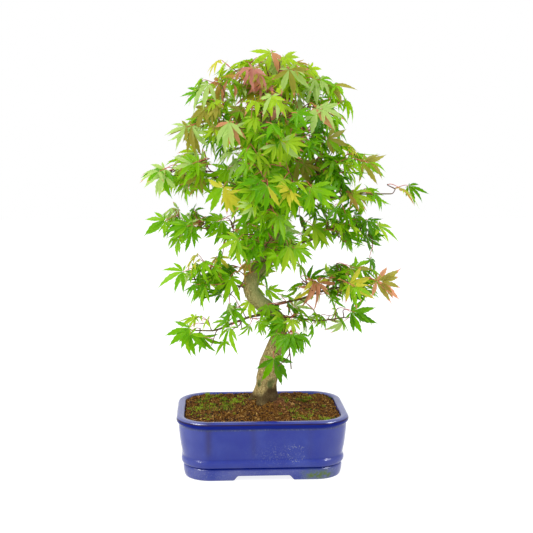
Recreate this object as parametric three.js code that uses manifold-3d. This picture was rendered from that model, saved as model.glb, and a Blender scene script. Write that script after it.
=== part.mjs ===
// Japanese maple bonsai in a low glazed pot, in millimetres, +Z up.
// The tree is an S-curved trunk, tapering boughs and uneven masses of foliage.
// The pot is a rounded rectangle with a rolled rim, a belt, four corner feet and its soil.
import * as THREE from 'three';
import { mergeVertices } from 'three/addons/utils/BufferGeometryUtils.js';
import Module from 'manifold-3d';

const wasm = await Module();
wasm.setup();

// ---- driving dimensions, mm ----
const GAP = 0.35; // clearance between pieces that touch
const POT_LENGTH = 200; // over the rim, along X
const POT_WIDTH = 152; // over the rim, along Y
const POT_HEIGHT = 70;
const RIM_CORNER = 40; // corner radius of the rim in plan
const CORNER_STEPS = 7; // segments in each rounded corner
const FOOT_HEIGHT = 5.5;
const FOOT_INSET = 9.5; // foot face behind the rim outline
const FOOT_BAND = 13; // width of a foot seen from below
const FOOT_END_X = 34; // half of the opening between the front feet
const FOOT_END_Y = 22; // half of the opening between the side feet
const FOOT_SLANT = 4; // how far a foot's end leans back at its top
const SOIL_EDGE = 66; // soil level at the pot wall
const SOIL_RISE = 11; // height of the mound at the trunk
const SOIL_SPREAD = 48; // width of the mound
const TRUNK_CUT = 75; // flat cut at the foot of the trunk
const ROOT_LOBES = 5;
const TRUNK_STEPS = 42;
const TRUNK_SIDES = 12;
const BOUGH_STEPS = 6;
const BOUGH_SIDES = 6;
const CROWN_LEFT = -135; // furthest leaf tips, from the middle of the pot
const CROWN_RIGHT = 185;
const CROWN_TOP = 485.5;
const CROWN_DEPTH = 116; // front and back
const POT_WALL = { innerTop: 9.6, innerFloor: 13, floor: 11 };

// middle of the crown's spread, so that the part's origin is under the middle of its box
const ORIGIN_X = (CROWN_LEFT + CROWN_RIGHT) / 2;

// ---- materials ----
const glaze = { color: 0x3a479c, roughness: 0.2, metalness: 0 };
const soilLook = { color: 0x5b4220, roughness: 0.95, metalness: 0 };
const barkLook = { color: 0x857a4c, roughness: 0.85, metalness: 0 };
const twigLook = { color: 0x6f5a3a, roughness: 0.8, metalness: 0 };
const LEAF_TINTS = {
  fresh: 0x6fa51c,
  deep: 0x4f8a0c,
  pale: 0x9dbb5c,
  coral: 0xb4a65c,
};

const group = new THREE.Group();

function addMesh(name, geometry, look) {
  const mesh = new THREE.Mesh(geometry, new THREE.MeshStandardMaterial(look));
  mesh.name = name;
  group.add(mesh);
}

// ---- solids ----

// A closed geometry as a solid that can be cut and joined.
function solidOf(geometry) {
  const bare = geometry.clone();
  bare.deleteAttribute('normal');
  bare.deleteAttribute('uv');
  const merged = mergeVertices(bare, 1e-4);
  const vertProperties = new Float32Array(merged.attributes.position.array);
  const triVerts = new Uint32Array(merged.index.array);
  return new wasm.Manifold(new wasm.Mesh({ numProp: 3, vertProperties, triVerts }));
}

function geometryOf(solid) {
  const mesh = solid.getMesh();
  const geometry = new THREE.BufferGeometry();
  const positions = new Float32Array(mesh.vertProperties);
  geometry.setAttribute('position', new THREE.BufferAttribute(positions, 3));
  geometry.setIndex(Array.from(mesh.triVerts));
  geometry.computeVertexNormals();
  return geometry;
}

// Keeps the largest piece of what cutting left.
function largest(solid) {
  return solid.decompose().reduce((best, piece) => (piece.volume() > best.volume() ? piece : best));
}

// A skin through rings of equal count, from the first to the last, closed by a fan at each end.
function loft(rings) {
  const count = rings[0].length;
  const positions = [];
  const index = [];
  for (const ring of rings) {
    for (const p of ring) positions.push(p.x, p.y, p.z);
  }
  for (let k = 0; k + 1 < rings.length; k += 1) {
    for (let i = 0; i < count; i += 1) {
      const a = k * count + i;
      const b = k * count + ((i + 1) % count);
      index.push(a, b, b + count, a, b + count, a + count);
    }
  }
  const ends = [[rings[0], 0, true], [rings.at(-1), (rings.length - 1) * count, false]];
  for (const [ring, base, turned] of ends) {
    const middle = ring.reduce((sum, p) => sum.add(p), new THREE.Vector3()).divideScalar(count);
    const centre = positions.length / 3;
    positions.push(middle.x, middle.y, middle.z);
    for (let i = 0; i < count; i += 1) {
      const a = base + i;
      const b = base + ((i + 1) % count);
      index.push(centre, ...(turned ? [b, a] : [a, b]));
    }
  }
  const geometry = new THREE.BufferGeometry();
  geometry.setAttribute('position', new THREE.Float32BufferAttribute(positions, 3));
  geometry.setIndex(index);
  geometry.computeVertexNormals();
  return geometry;
}

// ---- pot ----

// The rim's outline moved inwards by inset, anticlockwise, at height z.
function potRing(inset, z) {
  const halfX = POT_LENGTH / 2 - inset;
  const halfY = POT_WIDTH / 2 - inset;
  const radius = Math.max(RIM_CORNER - inset, 6);
  const ring = [];
  for (let corner = 0; corner < 4; corner += 1) {
    const sx = corner === 0 || corner === 3 ? 1 : -1;
    const sy = corner < 2 ? 1 : -1;
    for (let step = 0; step <= CORNER_STEPS; step += 1) {
      const angle = (Math.PI / 2) * (corner + step / CORNER_STEPS);
      const x = sx * (halfX - radius) + radius * Math.cos(angle);
      const y = sy * (halfY - radius) + radius * Math.sin(angle);
      ring.push(new THREE.Vector3(x, y, z));
    }
  }
  return ring;
}

// Wall section as [inset, height]: foot band, groove, belt, body, rolled rim, inner wall, floor.
const potSection = [
  [12, FOOT_HEIGHT], [9, 7], [8.2, 12.6],
  [9.4, 14.2], [6.4, 16], [5.7, 21.5], [7, 24.5],
  [4.8, 38], [3.2, 50], [2.6, 61.5],
  [0.3, 63], [0, 66.6], [1.6, 69.2], [4.4, POT_HEIGHT], [8, 69.6],
  [POT_WALL.innerTop, 67.5], [POT_WALL.innerFloor, POT_WALL.floor],
];

function makePot() {
  addMesh('pot', loft(potSection.map(([inset, z]) => potRing(inset, z))), glaze);
}

// One corner foot: an L in plan that follows the pot's corner, with ends that lean back.
function makeFoot(name, sx, sy) {
  const halfX = POT_LENGTH / 2 - FOOT_INSET;
  const halfY = POT_WIDTH / 2 - FOOT_INSET;
  const radius = RIM_CORNER - FOOT_INSET;
  const outline = new THREE.Shape();
  outline.moveTo(FOOT_END_X, halfY);
  outline.lineTo(halfX - radius, halfY);
  outline.absarc(halfX - radius, halfY - radius, radius, Math.PI / 2, 0, true);
  outline.lineTo(halfX, FOOT_END_Y);
  outline.lineTo(halfX - FOOT_BAND, FOOT_END_Y);
  outline.lineTo(halfX - FOOT_BAND, halfY - radius);
  outline.absarc(halfX - radius, halfY - radius, radius - FOOT_BAND, 0, Math.PI / 2, false);
  outline.lineTo(FOOT_END_X, halfY - FOOT_BAND);
  outline.closePath();
  const depth = FOOT_HEIGHT - GAP;
  const settings = { depth, bevelEnabled: false, curveSegments: CORNER_STEPS };
  const geometry = new THREE.ExtrudeGeometry(outline, settings);
  const place = geometry.attributes.position;
  for (let i = 0; i < place.count; i += 1) {
    const top = place.getZ(i) > depth / 2;
    if (top && place.getX(i) < FOOT_END_X + 1e-3) place.setX(i, FOOT_END_X - FOOT_SLANT);
    if (top && place.getY(i) < FOOT_END_Y + 1e-3) place.setY(i, FOOT_END_Y - FOOT_SLANT);
  }
  addMesh(name, geometryOf(solidOf(geometry).scale([sx, sy, 1])), glaze);
}

// Height of the soil's surface: level at the wall, with a smooth rise at the trunk and low lumps.
function soilHeight(x, y) {
  const distance = Math.hypot(x - trunkFoot.x, y - trunkFoot.y);
  const mound = SOIL_RISE * Math.exp(-((distance / SOIL_SPREAD) ** 2));
  return SOIL_EDGE + mound + 0.5 * Math.sin(x / 9) * Math.cos(y / 7);
}

function makeSoil(trunkCutter) {
  const inner = POT_WALL.innerTop + GAP + 0.2;
  const lower = POT_WALL.innerFloor + GAP + 0.2;
  const edge = potRing(inner, SOIL_EDGE);
  const rings = [potRing(lower, POT_WALL.floor + GAP)];
  for (const share of [1, 0.8, 0.6, 0.42, 0.24]) {
    rings.push(edge.map((p) => {
      const x = trunkFoot.x + (p.x - trunkFoot.x) * share;
      const y = trunkFoot.y + (p.y - trunkFoot.y) * share;
      return new THREE.Vector3(x, y, soilHeight(x, y));
    }));
  }
  addMesh('soil', geometryOf(largest(solidOf(loft(rings)).subtract(trunkCutter))), soilLook);
}

// ---- trunk and boughs ----

// Middle line of the trunk, from its foot to its tip: x, y, z and diameter.
const trunkLine = [
  [5, 0, TRUNK_CUT, 28], [6, 0, 92, 25], [9, 0, 118, 24], [16, -1, 140, 19.5],
  [22.5, -3, 163, 17], [17.5, -4, 179, 17.5], [0, -4, 194, 18], [-12, -3, 208, 18.5],
  [-9, -1, 226, 18], [4, 2, 241, 17], [14, 4, 262, 16], [13, 4, 289, 14],
  [4.5, 2, 316, 12], [2.5, 0, 345, 10.5], [5, -2, 372, 8.5], [-1, -2, 397, 7],
  [9, 0, 421, 5], [13.5, 0, 446, 3],
];
const trunkFoot = new THREE.Vector3(trunkLine[0][0], trunkLine[0][1], TRUNK_CUT);
const trunkCurve = new THREE.CatmullRomCurve3(trunkLine.map(([x, y, z]) => new THREE.Vector3(x, y, z)));

// The value in a list of numbers at a share from 0 to 1 of its length.
function between(values, share) {
  const at = share * (values.length - 1);
  const low = Math.min(Math.floor(at), values.length - 2);
  return values[low] + (values[low + 1] - values[low]) * (at - low);
}

// Rings round a curve, with a radius from radiusAt(share, angle). The first ring lies flat.
function tubeRings(curve, steps, sides, radiusAt) {
  const rings = [];
  for (let k = 0; k <= steps; k += 1) {
    const share = k / steps;
    const middle = curve.getPoint(share);
    const along = k === 0 ? curve.getTangent(0).setX(0).setY(0).normalize() : curve.getTangent(share);
    const flat = Math.abs(along.z) > 0.5 ? new THREE.Vector3(1, 0, 0) : new THREE.Vector3(0, 0, 1);
    const side = new THREE.Vector3().crossVectors(along, flat).normalize();
    const front = new THREE.Vector3().crossVectors(along, side);
    const ring = [];
    for (let i = 0; i < sides; i += 1) {
      const angle = (2 * Math.PI * i) / sides;
      const reach = radiusAt(share, angle);
      const point = middle.clone();
      point.addScaledVector(side, reach * Math.cos(angle)).addScaledVector(front, reach * Math.sin(angle));
      ring.push(point);
    }
    rings.push(ring);
  }
  return rings;
}

// The trunk's own form, grown by extra on every side: five root lobes flare out at its foot.
function trunkForm(extra) {
  const diameters = trunkLine.map((point) => point[3]);
  const radiusAt = (share, angle) => {
    const flare = Math.exp(-share * 38);
    const lobe = 1 + flare * (0.22 + 0.16 * Math.cos(ROOT_LOBES * angle));
    return (between(diameters, share) / 2) * lobe + extra;
  };
  const rings = tubeRings(trunkCurve, TRUNK_STEPS, TRUNK_SIDES, radiusAt);
  if (extra > 0) {
    rings[0].forEach((p) => p.setZ(p.z - extra));
    rings.at(-1).forEach((p) => p.setZ(p.z + extra));
  }
  return solidOf(loft(rings));
}

// Boughs: name, height at which each leaves the trunk, end point, diameters at start and end,
// and how far the middle of each is lifted.
const boughs = [
  { name: 'bough_hanging_left', from: 184, to: [-58, -6, 160], width: [5, 2.6], lift: 6 },
  { name: 'bough_hanging_right', from: 176, to: [72, -10, 174], width: [4.5, 2.6], lift: 5 },
  { name: 'bough_hanging_front', from: 170, to: [32, -36, 150], width: [4, 2.4], lift: 3 },
  { name: 'bough_lower_left', from: 212, to: [-56, -4, 222], width: [6, 3], lift: 4 },
  { name: 'bough_lower_right', from: 190, to: [92, -2, 220], width: [6, 3], lift: -8 },
  { name: 'bough_low_front', from: 236, to: [4, -54, 262], width: [5.5, 3], lift: 3 },
  { name: 'bough_low_back', from: 224, to: [14, 68, 248], width: [6, 3], lift: 4 },
  { name: 'bough_left_tier', from: 258, to: [-78, -4, 286], width: [6, 3], lift: 6 },
  { name: 'bough_right_tier', from: 250, to: [92, 0, 280], width: [6.5, 3], lift: 6 },
  { name: 'bough_middle_left', from: 308, to: [-68, 0, 342], width: [5.5, 3], lift: 6 },
  { name: 'bough_middle_right', from: 300, to: [84, 4, 346], width: [6, 3], lift: 5 },
  { name: 'bough_right_tip', from: 316, to: [122, -2, 322], width: [5, 2.4], lift: -4 },
  { name: 'bough_middle_front', from: 284, to: [6, -74, 328], width: [5, 3], lift: 6 },
  { name: 'bough_middle_back', from: 292, to: [8, 78, 332], width: [5, 3], lift: 6 },
  { name: 'bough_upper_left', from: 352, to: [-48, -6, 405], width: [4.5, 2.6], lift: 4 },
  { name: 'bough_upper_right', from: 346, to: [66, 6, 410], width: [4.5, 2.6], lift: 4 },
  { name: 'bough_upper_front', from: 338, to: [8, -66, 396], width: [4.5, 2.6], lift: 4 },
  { name: 'bough_upper_back', from: 342, to: [12, 70, 400], width: [4.5, 2.6], lift: 4 },
];

// Point of the trunk's middle line at a height.
function trunkAt(height) {
  let best = trunkCurve.getPoint(0);
  for (let k = 1; k <= 200; k += 1) {
    const point = trunkCurve.getPoint(k / 200);
    if (Math.abs(point.z - height) < Math.abs(best.z - height)) best = point;
  }
  return best;
}

function boughForm({ from, to, width, lift }) {
  const start = trunkAt(from);
  const end = new THREE.Vector3(...to);
  const middle = start.clone().lerp(end, 0.5);
  middle.z += lift;
  const curve = new THREE.QuadraticBezierCurve3(start, middle, end);
  const radiusAt = (share) => between(width, share) / 2;
  return solidOf(loft(tubeRings(curve, BOUGH_STEPS, BOUGH_SIDES, radiusAt)));
}

// ---- foliage ----

// Masses: name, centre, half sizes, the leaf tips that they reach, and colour.
const masses = [
  {
    name: 'foliage_crown_top', centre: [10, 0, 446], half: [60, 58, 35], tint: 'coral',
    tips: [[6, 0, CROWN_TOP], [-64, 0, 464], [92, 0, 454]],
  },
  {
    name: 'foliage_upper_left', centre: [-48, -4, 408], half: [42, 50, 44], tint: 'pale',
    tips: [[-95, -6, 396], [-80, 0, 446]],
  },
  {
    name: 'foliage_upper_right', centre: [64, 4, 410], half: [42, 50, 44], tint: 'fresh',
    tips: [[107, 4, 434], [106, 0, 396]],
  },
  { name: 'foliage_upper_front', centre: [8, -66, 396], half: [62, 42, 42], tint: 'fresh', tips: [] },
  { name: 'foliage_upper_back', centre: [12, 68, 400], half: [62, 42, 42], tint: 'deep', tips: [] },
  {
    name: 'foliage_middle_left', centre: [-70, 2, 344], half: [44, 52, 28], tint: 'pale',
    tips: [[CROWN_LEFT, 2, 339], [-100, 0, 321]],
  },
  {
    name: 'foliage_middle_right', centre: [82, 2, 352], half: [50, 52, 30], tint: 'fresh',
    tips: [[132, 0, 352]],
  },
  {
    name: 'foliage_right_tip', centre: [122, -2, 322], half: [36, 32, 15], tint: 'fresh',
    tips: [[CROWN_RIGHT, -2, 322]],
  },
  {
    name: 'foliage_middle_front', centre: [6, -72, 326], half: [64, 40, 36], tint: 'fresh',
    tips: [[0, -CROWN_DEPTH, 330]],
  },
  {
    name: 'foliage_middle_back', centre: [8, 74, 332], half: [66, 40, 36], tint: 'deep',
    tips: [[10, CROWN_DEPTH, 330]],
  },
  {
    name: 'foliage_left_tier', centre: [-78, -2, 286], half: [42, 44, 17], tint: 'fresh',
    tips: [[-130, 0, 285], [-104, 0, 262]],
  },
  {
    name: 'foliage_right_tier', centre: [94, 2, 278], half: [48, 48, 21], tint: 'fresh',
    tips: [[158, 0, 270]],
  },
  { name: 'foliage_low_front', centre: [2, -56, 268], half: [38, 32, 26], tint: 'deep', tips: [] },
  { name: 'foliage_low_back', centre: [14, 66, 250], half: [52, 38, 28], tint: 'deep', tips: [] },
  {
    name: 'foliage_lower_left', centre: [-60, -2, 226], half: [36, 42, 22], tint: 'deep',
    tips: [[-104, 0, 220], [-92, 0, 204]],
  },
  {
    name: 'foliage_lower_right', centre: [88, -2, 214], half: [44, 46, 24], tint: 'fresh',
    tips: [[160, -4, 217], [137, 0, 198]],
  },
  {
    name: 'foliage_hanging_left', centre: [-60, -6, 162], half: [30, 32, 14], tint: 'fresh',
    tips: [[-98, -6, 165], [-50, -8, 128]],
  },
  {
    name: 'foliage_hanging_right', centre: [72, -8, 172], half: [38, 34, 15], tint: 'fresh',
    tips: [[122, -6, 182]],
  },
  {
    name: 'foliage_hanging_front', centre: [32, -36, 142], half: [20, 16, 28], tint: 'fresh',
    tips: [[34, -38, 104], [58, -34, 112], [4, -38, 118]],
  },
];
const MASS_DETAIL = 2;
const LUMP_DEPTH = 0.07; // of the mass's own half size
const TIP_SHARPNESS = 14;

// An uneven closed mass: an ellipsoid with two crossing waves of lumps, drawn out to its tips.
// The vertex that looks most nearly towards each tip is set on it, so that the mass reaches it.
// grow is the share by which it is enlarged, to cut its neighbours clear of it.
function massForm({ centre, half, tips }, seed, grow) {
  const middle = new THREE.Vector3(...centre);
  const size = new THREE.Vector3(...half);
  const reaches = tips.map((tip) => new THREE.Vector3(...tip).sub(middle).divide(size));
  const ball = new THREE.IcosahedronGeometry(1, MASS_DETAIL);
  ball.deleteAttribute('normal');
  ball.deleteAttribute('uv');
  const geometry = mergeVertices(ball, 1e-4);
  const place = geometry.attributes.position;
  const ways = Array.from({ length: place.count }, (_, i) => (
    new THREE.Vector3().fromBufferAttribute(place, i).normalize()
  ));
  const points = ways.map((way) => {
    let reach = 1;
    reach += LUMP_DEPTH * Math.sin(5 * way.x + seed) * Math.cos(4 * way.y + 2 * seed);
    reach += LUMP_DEPTH * Math.sin(6 * way.z + 3 * seed) * Math.cos(5 * way.x - seed);
    for (const tip of reaches) {
      const weight = Math.exp(-TIP_SHARPNESS * (1 - way.dot(tip) / tip.length()));
      reach += (tip.length() - reach) * weight;
    }
    return way.clone().multiplyScalar(reach);
  });
  for (const tip of reaches) {
    const nearest = ways.reduce((best, way, i) => (way.dot(tip) > ways[best].dot(tip) ? i : best), 0);
    points[nearest].copy(tip);
  }
  points.forEach((point, i) => {
    point.multiplyScalar(1 + grow).multiply(size).add(middle);
    place.setXYZ(i, point.x, point.y, point.z);
  });
  return solidOf(geometry);
}

const GROW_MASS = 0.02; // clearance cut round a mass, as a share of its size

// ---- assembly ----
makePot();
for (const [side, sx] of [['left', -1], ['right', 1]]) {
  for (const [end, sy] of [['front', -1], ['back', 1]]) {
    makeFoot(`foot_${end}_${side}`, sx, sy);
  }
}

const trunk = trunkForm(0);
const trunkCutter = trunkForm(GAP);
addMesh('trunk', geometryOf(trunk), barkLook);
makeSoil(trunkCutter);

// Each mass is cut round the trunk and round the masses before it.
const massCutters = [];
masses.forEach((mass, i) => {
  let solid = massForm(mass, i + 1, 0).subtract(trunkCutter);
  for (const cutter of massCutters) solid = solid.subtract(cutter);
  const look = { color: LEAF_TINTS[mass.tint], roughness: 0.6, metalness: 0 };
  addMesh(mass.name, geometryOf(largest(solid)), look);
  massCutters.push(massForm(mass, i + 1, GROW_MASS));
});

// Each bough ends where it enters its mass.
const boughCutters = [];
boughs.forEach((bough) => {
  const whole = boughForm(bough);
  let solid = whole.subtract(trunkCutter);
  for (const cutter of massCutters) solid = solid.subtract(cutter);
  for (const cutter of boughCutters) solid = solid.subtract(cutter);
  addMesh(bough.name, geometryOf(largest(solid)), twigLook);
  boughCutters.push(boughForm({ ...bough, width: bough.width.map((w) => w + 2 * GAP) }));
});

group.position.x = -ORIGIN_X;

export default group;
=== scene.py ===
"""Japanese maple bonsai in a blue glazed pot: the looks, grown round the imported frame.

Every shape is worked out as whole numpy arrays, in millimetres, and put into its mesh in metres.
"""
import math

import bpy
import numpy as np
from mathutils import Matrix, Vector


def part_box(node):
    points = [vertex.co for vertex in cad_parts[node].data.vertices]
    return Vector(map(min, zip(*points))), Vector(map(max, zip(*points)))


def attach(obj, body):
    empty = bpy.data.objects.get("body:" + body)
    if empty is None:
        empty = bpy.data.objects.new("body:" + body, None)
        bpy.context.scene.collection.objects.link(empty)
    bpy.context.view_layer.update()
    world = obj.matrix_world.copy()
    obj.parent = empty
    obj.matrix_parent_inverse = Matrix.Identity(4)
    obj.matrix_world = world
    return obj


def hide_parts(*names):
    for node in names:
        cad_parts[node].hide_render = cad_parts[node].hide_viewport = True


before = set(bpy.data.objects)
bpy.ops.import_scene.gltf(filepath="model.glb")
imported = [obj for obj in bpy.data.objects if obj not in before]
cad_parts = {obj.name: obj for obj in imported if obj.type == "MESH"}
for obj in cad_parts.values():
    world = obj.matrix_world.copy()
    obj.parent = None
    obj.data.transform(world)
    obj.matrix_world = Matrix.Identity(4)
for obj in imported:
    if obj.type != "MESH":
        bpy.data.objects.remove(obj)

MM = 0.001  # metres in a millimetre
UP = np.array([0.0, 0.0, 1.0])
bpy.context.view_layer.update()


# ---- small tools ----

def unit(v):
    """Vectors scaled to length one."""
    return v / np.maximum(np.linalg.norm(v, axis=-1, keepdims=True), 1e-9)


def noise(points, cell, seed):
    """Smooth value noise from -1 to 1: random values on a cubic lattice of the given cell size,
    blended between the eight corners round each point by the curve 3t^2 - 2t^3."""
    side = 32
    lattice = np.random.default_rng(seed).uniform(-1, 1, (side, side, side))
    at = np.asarray(points) / cell
    low = np.floor(at).astype(int)
    part = at - low
    part = part * part * (3 - 2 * part)
    total = np.zeros(at.shape[:-1])
    for corner in np.ndindex(2, 2, 2):
        step = np.array(corner)
        weight = np.prod(np.where(step == 1, part, 1 - part), axis=-1)
        index = (low + step) % side
        total += weight * lattice[index[..., 0], index[..., 1], index[..., 2]]
    return total


def smoothstep(low, high, value):
    """0 below low, 1 above high, and 3t^2 - 2t^3 between."""
    t = np.clip((value - low) / (high - low), 0, 1)
    return t * t * (3 - 2 * t)


def spline(knots, count):
    """A Catmull-Rom curve through the knots: each stretch is the cubic whose slope at a knot
    is half the step between that knot's neighbours. It returns count points."""
    knots = np.asarray(knots, float)
    padded = np.vstack([2 * knots[0] - knots[1], knots, 2 * knots[-1] - knots[-2]])
    at = np.linspace(0, len(knots) - 1, count)
    k = np.minimum(at.astype(int), len(knots) - 2)
    t = (at - k)[:, None]
    a, b, c, d = (padded[k + i] for i in range(4))
    return 0.5 * (2 * b + (c - a) * t + (2 * a - 5 * b + 4 * c - d) * t**2
                  + (3 * b - 3 * c + d - a) * t**3)


def bezier(a, b, c, d, count):
    """Cubic curves through a and d, pulled towards b and c, for one curve or many at once."""
    t = np.linspace(0, 1, count)[:, None]
    a, b, c, d = (np.asarray(p, float)[..., None, :] for p in (a, b, c, d))
    return a * (1 - t)**3 + 3 * b * t * (1 - t)**2 + 3 * c * t**2 * (1 - t) + d * t**3


def strip_faces(rows, cols, closed=False):
    """Quads of a grid of rows by cols points. closed joins the last column to the first."""
    i = np.arange(rows - 1)[:, None]
    j = np.arange(cols if closed else cols - 1)[None, :]
    k = (j + 1) % cols
    return np.stack([i * cols + j, i * cols + k, (i + 1) * cols + k, (i + 1) * cols + j], -1).reshape(-1, 4)


def cap_faces(first, cols, centre, turned):
    """A fan of triangles from a ring that starts at first to its centre point."""
    j = np.arange(cols)
    a, b = first + j, first + (j + 1) % cols
    return np.stack([np.full(cols, centre), b, a] if turned else [np.full(cols, centre), a, b], -1)


def add_piece(name, points, quads, triangles, material, slot, replaced=(), smooth=True, values=None):
    """Makes one object from whole arrays of points in mm, quads and triangles, with point values."""
    points = np.asarray(points, float).reshape(-1, 3) * MM
    quads = np.asarray(quads, int).reshape(-1, 4)
    triangles = np.asarray(triangles, int).reshape(-1, 3)
    mesh = bpy.data.meshes.new(name)
    corners = np.concatenate([quads.ravel(), triangles.ravel()])
    starts = np.concatenate([np.arange(len(quads)) * 4, quads.size + np.arange(len(triangles)) * 3])
    mesh.vertices.add(len(points))
    mesh.loops.add(len(corners))
    mesh.polygons.add(len(starts))
    mesh.vertices.foreach_set("co", points.astype(np.float32).ravel())
    mesh.loops.foreach_set("vertex_index", corners.astype(np.int32))
    mesh.polygons.foreach_set("loop_start", starts.astype(np.int32))
    mesh.polygons.foreach_set("use_smooth", np.full(len(starts), smooth))
    for key, value in (values or {}).items():
        layer = mesh.attributes.new(key, "FLOAT", "POINT")
        layer.data.foreach_set("value", np.asarray(value, np.float32).ravel())
    mesh.update(calc_edges=True)
    mesh.validate()
    mesh.materials.append(material)
    piece = bpy.data.objects.new(name, mesh)
    bpy.context.scene.collection.objects.link(piece)
    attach(piece, "root")
    if replaced:
        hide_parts(*replaced)
    return piece


def tubes(lines, radii, sides):
    """Round skins over many lines at once: a ring across each line's tangent at every point, and
    a fan at each end. lines is (tubes, points, 3) and radii (tubes, points)."""
    count, rows = radii.shape
    along = unit(np.gradient(lines, axis=1))
    steep = np.abs(along[:, :, 2].mean(1)) > 0.75
    guide = np.where(steep[:, None, None], [1.0, 0.0, 0.0], UP)
    side = unit(np.cross(along, guide))
    front = np.cross(along, side)
    angle = 2 * np.pi * np.arange(sides) / sides
    around = side[:, :, None] * np.cos(angle)[:, None] + front[:, :, None] * np.sin(angle)[:, None]
    rings = lines[:, :, None] + around * radii[:, :, None, None]
    points = np.concatenate([rings.reshape(count, -1, 3), lines[:, :1], lines[:, -1:]], 1)
    quads = strip_faces(rows, sides, closed=True)
    last = rows * sides
    caps = np.concatenate([cap_faces(0, sides, last, True),
                           cap_faces(last - sides, sides, last + 1, False)])
    offset = (np.arange(count) * (last + 2))[:, None, None]
    return points.reshape(-1, 3), (quads + offset).reshape(-1, 4), (caps + offset).reshape(-1, 3)


def corners_of(node):
    """The CAD node's corner points in mm, each once, and its triangles as (triangles, 3, 3)."""
    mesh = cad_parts[node].data
    points = np.empty(len(mesh.vertices) * 3)
    mesh.vertices.foreach_get("co", points)
    points = points.reshape(-1, 3) / MM
    order = np.empty(len(mesh.loops), int)
    mesh.loops.foreach_get("vertex_index", order)
    return np.unique(points.round(3), axis=0), points[order].reshape(-1, 3, 3)


# ---- materials ----

def linear(code, alpha=1.0):
    """An sRGB hex colour as linear light."""
    value = np.array([int(code[i:i + 2], 16) for i in (1, 3, 5)]) / 255
    value = np.where(value <= 0.04045, value / 12.92, ((value + 0.055) / 1.055)**2.4)
    return (*value, alpha)


def add(material, kind, settings=None, links=None, ramp=None):
    """Adds a node: settings go to its inputs or its own properties, links come from other nodes as
    (node, output), and ramp gives a colour ramp's places and colours."""
    node = material.node_tree.nodes.new(kind)
    for key, value in (settings or {}).items():
        if isinstance(key, int) or key in node.inputs:
            node.inputs[key].default_value = value
        else:
            setattr(node, key, value)
    for key, (source, output) in (links or {}).items():
        material.node_tree.links.new(source.outputs[output], node.inputs[key])
    if ramp:
        elements = node.color_ramp.elements
        while len(elements) < len(ramp):
            elements.new(0.5)
        for element, (place, code) in zip(elements, ramp):
            element.position = place
            element.color = linear(code)
    return node


def new_material(name):
    """A material with nothing but its output, which is returned with it."""
    material = bpy.data.materials.new(name)
    material.use_nodes = True
    material.node_tree.nodes.clear()
    return material, add(material, "ShaderNodeOutputMaterial")


def finish_material(material, output, shader):
    """Links the shader to the output and returns the material."""
    material.node_tree.links.new(shader.outputs[0], output.inputs["Surface"])
    return material


MIX_A, MIX_B, MIX_COLOUR = 6, 7, 2  # colour sockets of the Mix node


def glaze_material():
    """Cobalt-blue reduction glaze over stoneware, fired glossy: deep blue where it pooled, milky violet
    where it is thin and, at the pot's left and right ends, as a painted reflection; brown where it broke at
    the rim's edge and as a painted shade line under the lip."""
    material, output = new_material("cobalt_glaze")
    place = add(material, "ShaderNodeTexCoord")
    at = {"Vector": (place, "Object")}
    broad = add(material, "ShaderNodeTexNoise", {"Scale": 38.0, "Detail": 3.0}, at)
    drips = add(material, "ShaderNodeMapping", {"Scale": (150.0, 150.0, 9.0)}, at)
    runs = add(material, "ShaderNodeTexNoise", {"Scale": 1.0, "Detail": 2.0}, {"Vector": (drips, 0)})
    body = add(material, "ShaderNodeValToRGB", links={"Fac": (broad, "Fac")},
               ramp=[(0.3, "#142480"), (0.52, "#1c2d84"), (0.72, "#2a3a8c")])
    run_mask = add(material, "ShaderNodeValToRGB", links={"Fac": (runs, "Fac")},
                   ramp=[(0.58, "#000000"), (0.75, "#606060")])
    coat = add(material, "ShaderNodeMix", {"data_type": "RGBA", MIX_B: linear("#25266c")},
               {0: (run_mask, 0), MIX_A: (body, 0)})
    masks = {}
    # the milky violet is thin glaze and, at the ends, a painted reflection; the brown is a glaze break and,
    # under the lip, painted shade
    for name, code in (("pooled", "#031870"), ("milky_and_reflection", "#5c6090"), ("broken_and_lip_shade", "#2a1a1c"),
                       ("algae", "#465c1a")):
        masks[name] = add(material, "ShaderNodeAttribute", {"attribute_name": name})
        coat = add(material, "ShaderNodeMix", {"data_type": "RGBA", MIX_B: linear(code)},
                   {0: (masks[name], "Fac"), MIX_A: (coat, MIX_COLOUR)})
    lime_film = add(material, "ShaderNodeAttribute", {"attribute_name": "scale"})
    dots = add(material, "ShaderNodeTexNoise", {"Scale": 620.0, "Detail": 1.0}, at)
    dot_mask = add(material, "ShaderNodeMapRange", {"From Min": 0.56, "From Max": 0.66},
                   {"Value": (dots, "Fac")})
    flecks = add(material, "ShaderNodeMath", {"operation": "MULTIPLY"},
                 {0: (lime_film, "Fac"), 1: (dot_mask, 0)})
    chalky = add(material, "ShaderNodeMix", {"data_type": "RGBA", MIX_B: linear("#8f9690")},
                 {0: (flecks, 0), MIX_A: (coat, MIX_COLOUR)})
    fine = add(material, "ShaderNodeTexNoise", {"Scale": 420.0, "Detail": 2.0}, at)
    bump = add(material, "ShaderNodeBump", {"Strength": 0.06, "Distance": 0.0004}, {"Height": (fine, "Fac")})
    gloss = add(material, "ShaderNodeMapRange", {"To Min": 0.42, "To Max": 0.09},
                {"Value": (masks["pooled"], "Fac")})
    shader = add(material, "ShaderNodeBsdfPrincipled", {"Roughness": 0.16, "IOR": 1.5},
                 {"Base Color": (chalky, MIX_COLOUR), "Normal": (bump, 0), "Specular IOR Level": (gloss, 0)})
    return finish_material(material, output, shader)


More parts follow.
